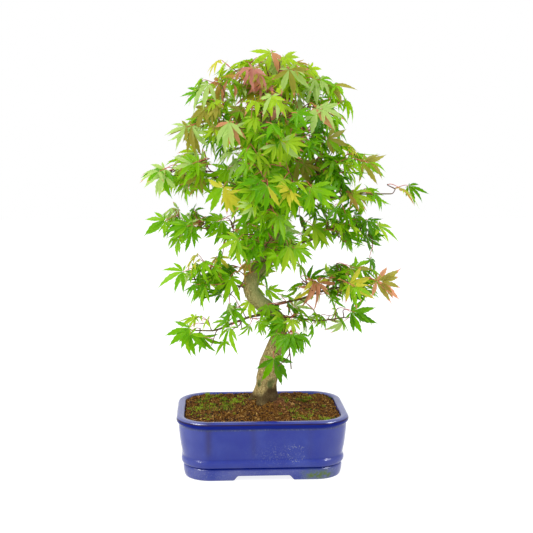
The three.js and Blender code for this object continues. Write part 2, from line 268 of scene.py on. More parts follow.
def soil_material():
    """Damp clay granules and composted bark: matt browns with a green bloom of moss."""
    material, output = new_material("damp_clay_soil")
    place = add(material, "ShaderNodeTexCoord")
    at = {"Vector": (place, "Object")}
    grains = add(material, "ShaderNodeTexNoise", {"Scale": 520.0, "Detail": 6.0, "Roughness": 0.7}, at)
    brown = add(material, "ShaderNodeValToRGB", links={"Fac": (grains, "Fac")},
                ramp=[(0.36, "#140a02"), (0.46, "#442809"), (0.56, "#714b1c"), (0.67, "#b08a48")])
    patches = add(material, "ShaderNodeTexNoise", {"Scale": 95.0, "Detail": 5.0}, at)
    mask = add(material, "ShaderNodeValToRGB", links={"Fac": (patches, "Fac")},
               ramp=[(0.58, "#000000"), (0.72, "#606060")])
    mossy = add(material, "ShaderNodeMix", {"data_type": "RGBA", MIX_B: linear("#6b6a20")},
                {0: (mask, 0), MIX_A: (brown, 0)})
    bump = add(material, "ShaderNodeBump", {"Strength": 0.7, "Distance": 0.0012},
               {"Height": (grains, "Fac")})
    shader = add(material, "ShaderNodeBsdfPrincipled", {"Roughness": 0.95, "Specular IOR Level": 0.03},
                 {"Base Color": (mossy, MIX_COLOUR), "Normal": (bump, 0)})
    return finish_material(material, output, shader)


def bark_material():
    """Young maple bark: thin, smooth and tan-grey with fine lengthwise lines, greened by algae."""
    material, output = new_material("maple_bark")
    place = add(material, "ShaderNodeTexCoord")
    at = {"Vector": (place, "Object")}
    long_way = add(material, "ShaderNodeMapping", {"Scale": (900.0, 900.0, 120.0)}, at)
    lines = add(material, "ShaderNodeTexNoise", {"Scale": 1.0, "Detail": 4.0, "Roughness": 0.6},
                {"Vector": (long_way, 0)})
    patches = add(material, "ShaderNodeTexNoise", {"Scale": 130.0, "Detail": 4.0}, at)
    specks = add(material, "ShaderNodeTexNoise", {"Scale": 700.0, "Detail": 5.0, "Roughness": 0.75}, at)
    grain = add(material, "ShaderNodeMix", {"data_type": "FLOAT", 0: 0.6},
                {2: (lines, "Fac"), 3: (specks, "Fac")})
    tan = add(material, "ShaderNodeValToRGB", links={"Fac": (grain, 0)},
              ramp=[(0.38, "#43341c"), (0.47, "#877345"), (0.55, "#ae9a64"), (0.64, "#d2c596")])
    mask = add(material, "ShaderNodeValToRGB", links={"Fac": (patches, "Fac")},
               ramp=[(0.45, "#000000"), (0.65, "#909090")])
    coat = add(material, "ShaderNodeMix", {"data_type": "RGBA", MIX_B: linear("#857e56")},
               {0: (mask, 0), MIX_A: (tan, 0)})
    # the dark brown is damp bark at the trunk's foot and, higher up on the trunk's right side, painted shade
    for name, code in (("algae", "#74814a"), ("damp_and_shade", "#36240a")):
        film = add(material, "ShaderNodeAttribute", {"attribute_name": name})
        coat = add(material, "ShaderNodeMix", {"data_type": "RGBA", MIX_B: linear(code)},
                   {0: (film, "Fac"), MIX_A: (coat, MIX_COLOUR)})
    bump = add(material, "ShaderNodeBump", {"Strength": 0.6, "Distance": 0.0006}, {"Height": (grain, 0)})
    shader = add(material, "ShaderNodeBsdfPrincipled", {"Roughness": 0.9, "Specular IOR Level": 0.1},
                 {"Base Color": (coat, MIX_COLOUR), "Normal": (bump, 0)})
    return finish_material(material, output, shader)


def skin_material(name, colour, roughness):
    """Thin living skin or dry matter, such as twigs, stalks, ribs and chips: one plain colour with a
    slight unevenness that breaks up its shine."""
    material, output = new_material(name)
    place = add(material, "ShaderNodeTexCoord")
    patches = add(material, "ShaderNodeTexNoise", {"Scale": 160.0, "Detail": 3.0},
                  {"Vector": (place, "Object")})
    bump = add(material, "ShaderNodeBump", {"Strength": 0.3, "Distance": 0.0002},
               {"Height": (patches, "Fac")})
    shader = add(material, "ShaderNodeBsdfPrincipled",
                 {"Base Color": linear(colour), "Roughness": roughness, "Specular IOR Level": 0.15},
                 {"Normal": (bump, 0)})
    return finish_material(material, output, shader)


def leaf_material(name, colour, glow):
    """A living maple leaf: thin, softly waxy, and bright where light comes through the blade."""
    material, output = new_material(name)
    place = add(material, "ShaderNodeTexCoord")
    veins = add(material, "ShaderNodeTexNoise", {"Scale": 620.0, "Detail": 3.0},
                {"Vector": (place, "Object")})
    bump = add(material, "ShaderNodeBump", {"Strength": 0.25, "Distance": 0.0003},
               {"Height": (veins, "Fac")})
    shader = add(material, "ShaderNodeBsdfPrincipled",
                 {"Base Color": linear(colour), "Roughness": 0.45, "Specular IOR Level": 0.09},
                 {"Normal": (bump, 0)})
    through = add(material, "ShaderNodeBsdfTranslucent", {"Color": linear(glow)}, {"Normal": (bump, 0)})
    both = add(material, "ShaderNodeMixShader", {"Fac": 0.42}, {1: (shader, 0), 2: (through, 0)})
    return finish_material(material, output, both)


# ---- pot ----

POT_LOW, POT_HIGH = (np.array(corner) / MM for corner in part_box("pot"))
POT_MIDDLE = (POT_LOW + POT_HIGH) / 2
POT_SIZE = POT_HIGH - POT_LOW
FOOT_INSET = POT_HIGH[0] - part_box("foot_front_right")[1][0] / MM
FOOT_TOP = POT_LOW[2]
OPEN_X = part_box("foot_front_right")[0][0] / MM - POT_MIDDLE[0] + 4  # half opening between the front feet
OPEN_Y = -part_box("foot_front_right")[1][1] / MM + 4  # half opening between the side feet
RIM_CORNER = 40.0
SOIL_LEVEL = 66.0


def pot_ring(inset, count):
    """The rim's rounded rectangle moved inwards by inset, anticlockwise in count points spaced
    evenly by length: straight sides with quarter circles of the corner radius less the inset."""
    half = POT_SIZE[:2] / 2 - inset
    radius = np.maximum(RIM_CORNER - inset, 4.0)
    straight = half - radius
    quarter = np.pi / 2 * radius
    lengths = np.array([2 * straight[1], quarter, 2 * straight[0], quarter] * 2)
    ends = np.concatenate([[0], np.cumsum(lengths)])
    run = (np.arange(count) + 0.5) / count * ends[-1]
    leg = np.searchsorted(ends, run, side="right") - 1
    along = (run - ends[leg]) / lengths[leg]
    corner = leg // 2
    sign = np.array([[1, 1], [-1, 1], [-1, -1], [1, -1]])[corner]
    curved = leg % 2 == 1
    turn = corner * np.pi / 2 + np.where(curved, along, 0) * np.pi / 2
    outward = np.stack([np.cos(turn), np.sin(turn)], -1)
    forward = np.stack([-np.sin(turn), np.cos(turn)], -1)
    back = np.where(curved, 0, 1 - along) * lengths[leg]
    return sign * straight + outward * radius - forward * back[:, None] + POT_MIDDLE[:2]


def pot_grid(profile, count):
    """The profile, as rows of inset and height, carried round the rim's outline."""
    rings = [np.column_stack([pot_ring(inset, count), np.full(count, z)]) for inset, z in profile]
    return np.array(rings)


def smooth_profile(knots, between):
    """A rounded section through its knots, with between points in each stretch."""
    return spline(knots, (len(knots) - 1) * between + 1)


def make_pot(material):
    """The pot as one closed skin: underside, foot ring, groove, belt, bulging body, rolled rim,
    inner wall and floor. Between the feet the foot ring is lifted to the underside's height."""
    outer = smooth_profile([
        (FOOT_INSET + 1.6, 0), (FOOT_INSET + 0.3, 0.7), (8.7, 4), (8.1, 8), (8.0, 12.3), (9.0, 14.0),
        (9.2, 14.6), (7.2, 15.6), (5.9, 18), (5.7, 21.5), (6.6, 24), (6.9, 25.4), (6.2, 30), (4.8, 38),
        (3.4, 48), (2.7, 56), (2.5, 61.4), (1.2, 62.6), (0.15, 64.2), (0.0, 66.6), (0.9, 68.8),
        (2.6, 69.8), (5.0, 70), (7.6, 69.7), (9.0, 68.6), (9.5, 66.5), (9.9, 62), (10.6, 50)], 4)
    inner = smooth_profile([(10.6, 50), (11.6, 30), (12.6, 13), (15, 11)], 4)[1:]
    under = np.array([(60, FOOT_TOP), (40, FOOT_TOP), (26, FOOT_TOP), (FOOT_INSET + 14, FOOT_TOP),
                      (FOOT_INSET + 13, 4.6), (FOOT_INSET + 12.6, 0.8), (FOOT_INSET + 11.4, 0),
                      (FOOT_INSET + 6, 0)])
    profile = np.concatenate([under, outer, inner])
    around = 420
    grid = pot_grid(profile, around)
    x, y, z = np.moveaxis(grid - [POT_MIDDLE[0], POT_MIDDLE[1], 0], -1, 0)
    # lift is 1 in the middle of each opening and falls to 0 over the slanted foot ends
    front = 1 - smoothstep(OPEN_X - 5, OPEN_X + 1, np.abs(x))
    side = 1 - smoothstep(OPEN_Y - 5, OPEN_Y + 1, np.abs(y))
    lift = np.maximum(front * (np.abs(y) > 30), side * (np.abs(x) > 60))
    raised = FOOT_TOP + z * 0.12
    grid[..., 2] = np.where(z < FOOT_TOP + 1, np.maximum(z, z + lift * (raised - z)), z)
    wobble = noise(grid, 26, 5) * 0.35 + noise(grid, 9, 6) * 0.12
    outward = grid[..., :2] - POT_MIDDLE[:2]
    hold = smoothstep(8, 16, z)[..., None]
    grid[..., :2] += unit(outward) * wobble[..., None] * hold
    rows = len(profile)
    row_z = profile[:, 1]
    rising = np.arange(rows) < len(under) + len(outer) - 16
    flat = grid.reshape(-1, 3)
    speckle = noise(flat, 2.2, 11)
    clouds = noise(flat, 14, 12)
    tall = np.repeat(row_z, around)
    outside = np.repeat(rising & (np.arange(rows) >= len(under)), around)
    across = flat[:, 0] - POT_MIDDLE[0]
    lip = smoothstep(60.5, 63, tall) * (1 - smoothstep(67.4, 68.6, tall)) * outside
    groove = np.exp(-((tall - 14.3) / 1.3)**2) * outside * (1 - smoothstep(70, 92, np.abs(across)))
    pooled = np.clip(lip * 1.1 + groove * 1.1 + 0.3 * np.exp(-((tall - 25) / 1.2)**2), 0, 1)
    corner = smoothstep(55, 88, np.abs(across))
    rim_top = smoothstep(67.4, 69, tall)
    foot_band = 1 - smoothstep(11, 14, tall)
    # milky glaze: thin on the rim top and the foot band, and through corner lighter at the left and right
    # ends, a painted reflection
    milky_and_reflection = rim_top * (0.12 + 0.62 * corner + 0.18 * clouds) + foot_band * (0.36 + 0.3 * clouds)
    milky_and_reflection = np.clip(milky_and_reflection + (1 - rim_top) * (0.22 * corner + 0.07 * clouds) * (1 - lip), 0, 1)
    edge = np.exp(-((tall - 67.3) / 0.6)**2) * outside
    # painted shade: the crease just under the lip is painted as a dark brown-green line through the break,
    # algae and scale marks
    under_lip_shade = np.exp(-((tall - 60.9) / 0.6)**2) * outside
    broken_and_lip_shade = np.clip(edge * (1.0 + 0.4 * clouds) + under_lip_shade * (0.3 + 0.5 * speckle), 0, 1)
    facing = flat[:, 1] < -40
    drips = np.exp(-((across[:, None] - [-63.0, -12.0, 52.0]) / 3.6)**2) * [0.42, 0.2, 0.1]
    fade = smoothstep(22, 38, tall) * facing * (1 - lip)
    broken_and_lip_shade = np.clip(broken_and_lip_shade + drips.sum(1) * fade, 0, 1)
    patch = np.exp(-((across - 62) / 17)**4 - ((tall - 6) / 5)**2) * facing
    algae = np.clip(patch * (0.95 + 0.9 * speckle) + under_lip_shade * 0.25, 0, 0.95)
    ring = np.exp(-((np.hypot(across - 36, tall - 32) - 9) / 1.6)**2) * (0.6 + 0.4 * speckle) * facing
    spray = np.exp(-((across - 18) / 28)**2 - ((tall - 32) / 13)**2) * facing
    scale = np.clip(0.7 * ring + 0.17 * spray + 0.25 * under_lip_shade + 0.12 * foot_band, 0, 0.8)
    triangles = np.concatenate([cap_faces(0, around, len(flat), True),
                                cap_faces(len(flat) - around, around, len(flat) + 1, False)])
    points = np.vstack([flat, [*POT_MIDDLE[:2], FOOT_TOP], [*POT_MIDDLE[:2], 11]])
    marks = {"pooled": pooled, "milky_and_reflection": milky_and_reflection, "broken_and_lip_shade": broken_and_lip_shade, "algae": algae, "scale": scale}
    values = {key: np.append(value, [0, 0]) for key, value in marks.items()}
    feet = [f"foot_{end}_{side_name}" for end in ("front", "back") for side_name in ("left", "right")]
    add_piece("glazed_pot", points, strip_faces(rows, around, closed=True), triangles, material,
              "glaze", ("pot", *feet), values=values)


# ---- soil and what lies on it ----

SOIL_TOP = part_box("soil")[1][2] / MM


def trunk_sections(count):
    """Middle line and radius of the trunk from the CAD solid: at each height the solid's edges are
    cut by a level plane, the cut's corners are put in order round their mean, and the polygon's
    centroid and area follow. The radius allows for the slope of the line through the cut."""
    low, high = (corner[2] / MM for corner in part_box("trunk"))
    heights = np.linspace(low + 0.4, high - 0.6, count)
    a = corners_of("trunk")[1]
    b = np.roll(a, -1, axis=1)
    middles, areas = [], []
    for h in heights:
        cut = (a[..., 2] - h) * (b[..., 2] - h) < 0
        share = (h - a[..., 2][cut]) / (b[..., 2][cut] - a[..., 2][cut])
        p = (a[cut] + (b[cut] - a[cut]) * share[:, None])[:, :2]
        away = p - p.mean(0)
        p = p[np.argsort(np.arctan2(away[:, 1], away[:, 0]))]
        q = np.roll(p, -1, axis=0)
        twice = p[:, 0] * q[:, 1] - q[:, 0] * p[:, 1]
        area = twice.sum() / 2
        middles.append([*(((p + q) * twice[:, None]).sum(0) / (6 * area)), h])
        areas.append(area)
    line = np.array(middles)
    slope = np.abs(unit(np.gradient(line, axis=0))[:, 2])
    return line, np.sqrt(np.array(areas) * slope / np.pi)


TRUNK_LINE, TRUNK_RADIUS = trunk_sections(72)
TRUNK_FOOT = TRUNK_LINE[0]


def soil_height(x, y):
    """The soil's surface: level at the wall, a smooth rise at the trunk, and clods of three sizes."""
    away = np.hypot(x - TRUNK_FOOT[0], y - TRUNK_FOOT[1])
    place = np.stack([x, y, np.zeros_like(x)], -1)
    mound = (SOIL_TOP - SOIL_LEVEL) * np.exp(-(away / 48)**2) + 8.5 * np.exp(-(away / 22)**2)
    back = 2.4 * smoothstep(10, 62, y - POT_MIDDLE[1])  # it lies higher along the back wall
    return (SOIL_LEVEL - 0.6 + back + mound + 1.3 * noise(place, 13, 21) + 1.3 * noise(place, 5.2, 22)
            + 1.0 * noise(place, 2.4, 23))


def make_soil(material):
    """The soil as rings that shrink from the pot's inner wall to the middle, over a plain underside."""
    around, rows = 260, 96
    edge = pot_ring(9.85, around)
    share = np.linspace(1, 0.01, rows)[:, None, None]
    flat = TRUNK_FOOT[:2] + (edge - TRUNK_FOOT[:2]) * share
    top = np.concatenate([flat, soil_height(flat[..., 0], flat[..., 1])[..., None]], -1)
    base = np.column_stack([pot_ring(13.6, around), np.full(around, 11.4)])[None]
    grid = np.concatenate([base, top])
    points = np.vstack([grid.reshape(-1, 3), [*POT_MIDDLE[:2], 11.4], [*TRUNK_FOOT[:2], SOIL_TOP]])
    last = (rows + 1) * around
    triangles = np.concatenate([cap_faces(0, around, last, True),
                                cap_faces(last - around, around, last + 1, False)])
    add_piece("soil_bed", points, strip_faces(rows + 1, around, closed=True), triangles, material,
              "soil", ("soil",))


def on_soil(count, rng, inset=12.0):
    """Places scattered over the soil, inside its edge."""
    half = POT_SIZE[:2] / 2 - inset
    place = rng.uniform(-1, 1, (count * 2, 2)) * half
    beyond = np.maximum(np.abs(place) - (half - 28), 0)
    place = place[np.hypot(beyond[:, 0], beyond[:, 1]) < 28][:count] + POT_MIDDLE[:2]
    return np.column_stack([place, soil_height(place[:, 0], place[:, 1])])


def make_moss(name, material, count, rng):
    """Moss as tufts of tapering blades: each blade is a three-sided spike that leans from the
    tuft's middle, and tufts gather where a slow noise is high."""
    tufts = on_soil(count, rng)
    gather = 0.6 * noise(tufts * [1, 1, 0], 30, 31) + 0.7 * noise(tufts * [1, 1, 0], 5, 32)
    near_wall = np.abs(tufts[:, 0] - TRUNK_FOOT[0]) / 90
    tufts = tufts[gather + 0.3 * near_wall > 0.58]
    blades = 10
    total = len(tufts) * blades
    root = np.repeat(tufts, blades, 0)
    size = np.repeat(rng.uniform(0.6, 1.5, len(tufts)), blades)
    spread = rng.normal(0, 1, (total, 2)) * size[:, None] * 1.1
    foot = root + np.column_stack([spread, np.full(total, -0.4)])
    aside = spread * 0.8 + rng.normal(0, 0.5, (total, 2))
    lean = np.column_stack([aside, rng.uniform(1.2, 3.0, total) * size])
    angle = rng.uniform(0, 2 * np.pi, total)[:, None] + 2 * np.pi / 3 * np.arange(3)
    ring = foot[:, None] + np.stack([np.cos(angle), np.sin(angle), np.zeros_like(angle)], -1) * 0.45
    points = np.concatenate([ring, (foot + lean)[:, None]], 1)
    faces = np.array([[0, 1, 3], [1, 2, 3], [2, 0, 3], [2, 1, 0]])
    triangles = faces + (np.arange(total) * 4)[:, None, None]
    add_piece(name, points, [], triangles, material, "leaf_fresh", smooth=False)


def make_debris(name, material, count, size, rng, slot):
    """Loose chips lying on the soil: flat six-cornered flakes, thin and tilted each its own way."""
    place = on_soil(count, rng)
    angle = np.sort(rng.uniform(0, 2 * np.pi, (count, 6)), 1)
    reach = rng.uniform(0.5, 1.0, (count, 6)) * rng.uniform(*size, (count, 1))
    tilt = rng.normal(0, 0.35, (count, 2))
    x, y = np.cos(angle) * reach, np.sin(angle) * reach * 0.6
    turn = rng.uniform(0, np.pi, (count, 1))
    x, y = x * np.cos(turn) - y * np.sin(turn), x * np.sin(turn) + y * np.cos(turn)
    z = x * tilt[:, :1] + y * tilt[:, 1:]
    thick = rng.uniform(0.3, 1.1, (count, 1))
    top = np.stack([x, y, z + thick], -1) + place[:, None]
    low = np.stack([x, y, z - 0.5], -1) + place[:, None]
    points = np.concatenate([top, low], 1)
    ring = np.arange(6)
    nxt = (ring + 1) % 6
    quads = np.stack([ring + 6, nxt + 6, nxt, ring], -1) + (np.arange(count) * 12)[:, None, None]
    fan = np.array([[0, k, k + 1] for k in range(1, 5)])
    fans = np.concatenate([fan, fan[:, ::-1] + 6]) + (np.arange(count) * 12)[:, None, None]
    add_piece(name, points, quads, fans, material, slot, smooth=False)


def make_root_fibres(material, rng):
    """Fine roots on the surface, each a thin tube that wanders out from the trunk's foot."""
    count, rows = 30, 16
    heading = rng.normal(-0.5, 0.35, count)
    start = TRUNK_FOOT[:2] + 11 * np.stack([np.cos(heading), np.sin(heading)], -1)
    t = np.linspace(0, 1, rows)[None, :]
    length = rng.uniform(14, 46, count)[:, None]
    bend = rng.normal(0, 0.5, count)[:, None]
    way = heading[:, None] + bend * t
    x = start[:, :1] + np.cumsum(np.cos(way), 1) * length / rows
    y = start[:, 1:] + np.cumsum(np.sin(way), 1) * length / rows
    line = np.stack([x, y, soil_height(x, y) + 0.35], -1)
    radii = np.linspace(0.5, 0.22, rows)[None] * rng.uniform(0.7, 1.2, (count, 1))
    add_piece("root_fibres", *tubes(line, radii, 6), material, "twig")


# ---- trunk and boughs ----

BURIED = 5.0  # the bark runs this far down into the soil


def make_trunk(material):
    """The trunk as rings across its middle line: the CAD radius, five root lobes that fade upwards,
    lengthwise ridges, low swellings at old nodes, one cut knob, and a fine bark relief."""
    rows, around = 420, 96
    line = spline(TRUNK_LINE, rows)
    radius = np.interp(np.linspace(0, 1, rows), np.linspace(0, 1, len(TRUNK_RADIUS)), TRUNK_RADIUS)
    along = unit(np.gradient(line, axis=0))
    side = unit(np.cross(along, [0.0, 1.0, 0.0]))
    front = np.cross(along, side)
    angle = 2 * np.pi * np.arange(around) / around
    around_way = side[:, None] * np.cos(angle)[:, None] + front[:, None] * np.sin(angle)[:, None]
    run = np.concatenate([[0], np.cumsum(np.linalg.norm(np.diff(line, axis=0), axis=1))])[:, None]
    flare = np.exp(-run / 7)
    lobes = flare * (0.14 + 0.24 * np.cos(5 * angle + 0.6) + 0.1 * np.cos(3 * angle + 2))
    nodes = 0.05 * np.sin(run / 8.5 + 1.4 * np.sin(run / 21))**8
    skin = line[:, None] + around_way * radius[:, None, None]
    slow = noise(skin, 11, 41) * 0.055
    lengthwise = np.stack([np.cos(angle)[None] * radius[:, None] * np.ones((rows, 1)),
                           np.sin(angle)[None] * radius[:, None] * np.ones((rows, 1)),
                           run / 9 * np.ones((1, around))], -1)
    ridges = noise(lengthwise, 1.5, 42) * 0.035
    fine = noise(skin, 0.9, 43) * 0.012
    knob_way = np.array([0.86, -0.45, 0.2])
    knob = np.exp(-((run - 44) / 3.2)**2) * np.exp(-3.2 * (1 - around_way @ unit(knob_way)) / 0.35) * 0.2
    reach = radius[:, None] * (1 + lobes + nodes + slow + ridges + fine + knob)
    skin = line[:, None] + around_way * reach[..., None]
    skin[0, :, 2] = TRUNK_LINE[0, 2] - BURIED
    flat = skin.reshape(-1, 3)
    tall = flat[:, 2]
    mottled = noise(flat, 7, 44) + 0.5 * noise(flat, 2.5, 45)
    climb = smoothstep(150, 185, tall)
    upper_side = np.clip(around_way @ unit(np.array([0.35, -0.3, 0.9])), 0, 1).ravel()
    algae = np.clip(climb * (0.3 + 0.55 * upper_side + 0.35 * mottled), 0, 0.95)
    spots = 1.3 * np.exp(-((tall - 98) / 6)**2) * smoothstep(0.15, 0.55, mottled)
    # painted shade: the dark band at the foot reaches higher on the right side, away from the key light
    right = smoothstep(-0.1, 0.5, (around_way @ np.array([1.0, -0.3, 0.0])).ravel())
    damp_and_shade = (1 - smoothstep(-3, 4, tall - 86 - 9 * right + 3 * mottled)) * (0.9 + 0.1 * mottled)
    damp_and_shade = np.clip(damp_and_shade + 0.3 * smoothstep(0.5, 1.0, mottled) * (1 - climb), 0, 0.95)
    points = np.vstack([flat, line[0] - UP * BURIED, line[-1]])
    last = rows * around
    triangles = np.concatenate([cap_faces(0, around, last, True),
                                cap_faces(last - around, around, last + 1, False)])
    damp_and_shade = np.clip(damp_and_shade + 0.4 * spots, 0, 0.95)
    algae = np.clip(np.maximum(algae, spots), 0, 1)
    values = {"algae": np.append(algae, [0, 0]), "damp_and_shade": np.append(damp_and_shade, [0, 0])}
    add_piece("trunk_bark", points, strip_faces(rows, around, closed=True), triangles, material,
              "bark", ("trunk",), values=values)


def bough_path(node, mass):
    """A bough's knots: the trunk's line, the CAD limb's near end, middle and far end, then the
    middle of its mass and most of the way to the mass's furthest corner."""
    limb = corners_of(node)[0]
    solid = corners_of(mass)[0]
    centre = solid.mean(0)
    nearest = np.argmin(np.linalg.norm(limb[:, None] - TRUNK_LINE[None], axis=2).min(0))
    toward = unit(centre - TRUNK_LINE[nearest])
    along = (limb - TRUNK_LINE[nearest]) @ toward
    order = limb[np.argsort(along)]
    fifth = max(len(order) // 5, 3)
    near, far = order[:fifth].mean(0), order[-fifth:].mean(0)
    middle = order[2 * fifth:3 * fifth].mean(0)
    thick = np.linalg.norm(order[:fifth] - near, axis=1).mean()
    thin = np.linalg.norm(order[-fifth:] - far, axis=1).mean()
    tip = solid[np.argmax(np.linalg.norm(solid - TRUNK_LINE[nearest], axis=1))]
    start = TRUNK_LINE[np.argmin(np.linalg.norm(TRUNK_LINE - near, axis=1))]
    knots = np.array([start, near, middle, far, centre * 0.75 + far * 0.25, centre + (tip - centre) * 0.5])
    return knots, thick, thin


# ---- leaves and twigs ----

# Tints of the season, which the mixes below also deal out as painted light and shade: name, blade colour,
# colour of light through it, record slot
TINTS = {
    "deep": ("#417900", "#6eae00", "leaf_deep"),
    "mid": ("#5c9c00", "#8ccc00", "leaf_deep"),
    "fresh": ("#7cb307", "#a8dc10", "leaf_fresh"),
    "lime": ("#9bbe1e", "#cbee30", "leaf_fresh"),
    "pale": ("#aac66c", "#d2ee8a", "leaf_pale"),
    "olive": ("#968e34", "#c4bc48", "leaf_pale"),
    "yellow": ("#c6c234", "#ece44c", "leaf_coral"),
    "bronze": ("#a88a3a", "#d8b04c", "leaf_coral"),
    "coral": ("#cc8c64", "#eca47c", "leaf_coral"),
    "pink": ("#c08076", "#e89c90", "leaf_coral"),
}
TINT_NAMES = list(TINTS)

# Shares of the tints in each kind of place. Painted light: the light mix gives the masses on the lit left
# more pale and lime greens.
# Painted shade: the shade mix gives the low back mass deep and mid greens.
MIXES = {
    "top": {"pale": 3.5, "lime": 3.5, "fresh": 3.5, "olive": 1.6, "yellow": 1.4, "coral": 1, "pink": 1.2,
            "bronze": 0.8},
    "light": {"pale": 4.5, "fresh": 4, "lime": 5, "mid": 1.5, "olive": 1},
    "green": {"mid": 5, "fresh": 5, "deep": 2, "lime": 2.2, "pale": 0.7, "yellow": 0.2, "bronze": 0.15},
    "shade": {"deep": 4, "mid": 5, "fresh": 2},
}

# Foliage masses: the bough that feeds each, its mix of tints, and its sprays
MASSES = {
    "crown_top": (None, "top", 34),
    "upper_left": ("upper_left", "light", 19),
    "upper_right": ("upper_right", "green", 18),
    "upper_front": ("upper_front", "green", 18),
    "upper_back": ("upper_back", "green", 18),
    "middle_left": ("middle_left", "light", 18),
    "middle_right": ("middle_right", "green", 18),
    "right_tip": ("right_tip", "green", 8),
    "middle_front": ("middle_front", "green", 16),
    "middle_back": ("middle_back", "green", 16),
    "left_tier": ("left_tier", "green", 16),
    "right_tier": ("right_tier", "green", 15),
    "low_front": ("low_front", "green", 10),
    "low_back": ("low_back", "shade", 12),
    "lower_left": ("lower_left", "green", 14),
    "lower_right": ("lower_right", "green", 17),
    "hanging_left": ("hanging_left", "green", 10),
    "hanging_right": ("hanging_right", "green", 8),
    "hanging_front": ("hanging_front", "green", 3),
}
FOLIAGE_SEED = 4711
LEAF_SEED = 99
SCATTER_SEED = 7
PIECE_LOBES = 2600  # most lobes in one joined piece
TWIG_ROWS = 12  # points along a twig
STALK_ROWS = 7  # points along a leaf's stalk
LEAF_LENGTH = (18.0, 28.0)  # middle lobe, mm
STALK_LENGTH = (9.0, 21.0)
LEAF_REACH = np.array([27.0, 25.0, 9.0])  # how far leaves reach beyond their twig's end
LEAF_LIFT = 8.0  # twigs end this much above the middle of their leaves, which hang
LEAF_EXCESS = 4.5  # a leaf that would stand further out of the crown than this drops off
SLEEVE = 19.0  # leaves may also lie this near to a bough
CROWN_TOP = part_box("foliage_crown_top")[1][2] / MM


def spread_points(points, count):
    """Points spread over a cloud: each next one is the furthest from those already taken."""
    taken = [int(np.argmax(np.linalg.norm(points - points.mean(0), axis=1)))]
    gap = np.linalg.norm(points - points[taken[0]], axis=1)
    while len(taken) < count:
        taken.append(int(np.argmax(gap)))
        gap = np.minimum(gap, np.linalg.norm(points - points[taken[-1]], axis=1))
    return points[taken]


def twig_targets(solid, core, count, rng):
    """Where a mass's twigs end: a cloud of points through the mass, kept inside it by the reach of
    the leaves, and round its bough, thinned to an even spread."""
    centre = (solid.min(0) + solid.max(0)) / 2
    half = (solid.max(0) - solid.min(0)) / 2
    keep = np.maximum(1 - LEAF_REACH / half, 0.3)
    cloud = solid[rng.integers(len(solid), size=500)] - centre
    cloud = centre + cloud * keep * rng.uniform(0.1, 1, (500, 1))**0.5 + UP * LEAF_LIFT
    near = core[rng.integers(len(core), size=60)] + rng.normal(0, 1, (60, 3)) * [7, 8, 5]
    cloud = np.vstack([cloud, near])
    return spread_points(cloud[~in_sky_opening(cloud)], count)


def grow_twigs(core, targets, rng):
    """The branching rule: nearest targets first, each target gets a twig that leaves the growth so
    far where distance and turn together cost least, starts along its parent and bends outwards.
    It returns the twigs' lines and the parent of each."""
    points = core
    ways = unit(np.gradient(core, axis=0))
    owner = np.full(len(points), -1)
    order = np.argsort(np.linalg.norm(targets - core[0], axis=1))
    lines, parents = [], []
    for number, target in enumerate(targets[order]):
        step = target - points
        far = np.linalg.norm(step, axis=1)
        turn = (unit(step) * ways).sum(1)
        best = int(np.argmin(far * (1.9 - turn) + 3.0 * (far < 9)))
        pull = far[best] * 0.35
        out = unit(unit(step[best]) + rng.normal(0, 0.25, 3))
        line = bezier(points[best], points[best] + ways[best] * pull, target - out * pull, target, TWIG_ROWS)
        bend = noise(line, 7, 60 + number)[:, None] * unit(rng.normal(0, 1, 3)) * 0.7
        lines.append(line + bend * np.linspace(0, 1, TWIG_ROWS)[:, None])
        parents.append(owner[best])
        points = np.vstack([points, line[3:10]])
        ways = np.vstack([ways, unit(np.gradient(line, axis=0))[3:10]])
        owner = np.append(owner, np.full(7, number))
    return np.array(lines), np.array(parents)


def bearing(parents, carried):
    """True for the twigs that carry something, themselves or through the twigs that grow from them."""
    bears = np.zeros(len(parents), bool)
    bears[carried] = True
    for number in range(len(parents) - 1, -1, -1):
        if bears[number] and parents[number] >= 0:
            bears[parents[number]] = True
    return bears


def twig_radii(parents, rows):
    """Thickness of each twig from the number of sprays that it feeds, thinner to its end."""
    fed = np.ones(len(parents))
    for number in range(len(parents) - 1, -1, -1):
        if parents[number] >= 0:
            fed[parents[number]] += fed[number]
    start = 0.6 * fed**0.36
    return start[:, None] + (0.5 - start[:, None]) * np.linspace(0, 1, rows)[None] ** 0.8


PAIRS = (  # place on the twig, spread of the pair, share of the pair that is level, chance of a leaf
    (11, 0.75, 1.0, 0.92), (11, 0.45, 0.15, 0.45), (7, 1.15, 0.2, 0.62), (4, 1.2, 0.95, 0.5))


def spray_leaves(line, rng):
    """Leaves of one spray, in opposite pairs as on a maple, each pair turned a quarter from the
    next: at the twig's end and further back. It returns nodes and ways of the stalks."""
    nodes, ways = [], []
    long_twig = np.linalg.norm(line[-1] - line[0]) > 16
    for place, spread, level_share, chance in PAIRS:
        if place < 11 and not long_twig:
            continue
        along = unit((line[place] - line[place - 2]) * [1, 1, 0.6])
        level = unit(np.cross(along, UP) + rng.normal(0, 0.12, 3))
        across = unit(level * level_share + np.cross(level, along) * (1 - level_share) * 0.8)
        for sign in (1, -1):
            if rng.random() > chance:
                continue
            angle = spread * rng.uniform(0.75, 1.25)
            nodes.append(line[place])
            ways.append(unit(along * math.cos(angle) + across * sign * math.sin(angle)
                             + rng.normal(0, 0.14, 3)))
    return nodes, ways


def mass_shapes():
    """Each mass as its middle, the directions of its corners from there, and their distances."""
    shapes = []
    for mass in MASSES:
        solid = corners_of("foliage_" + mass)[0]
        centre = (solid.min(0) + solid.max(0)) / 2
        reach = np.linalg.norm(solid - centre, axis=1)
        shapes.append((centre, (solid - centre) / reach[:, None], reach))
    return shapes


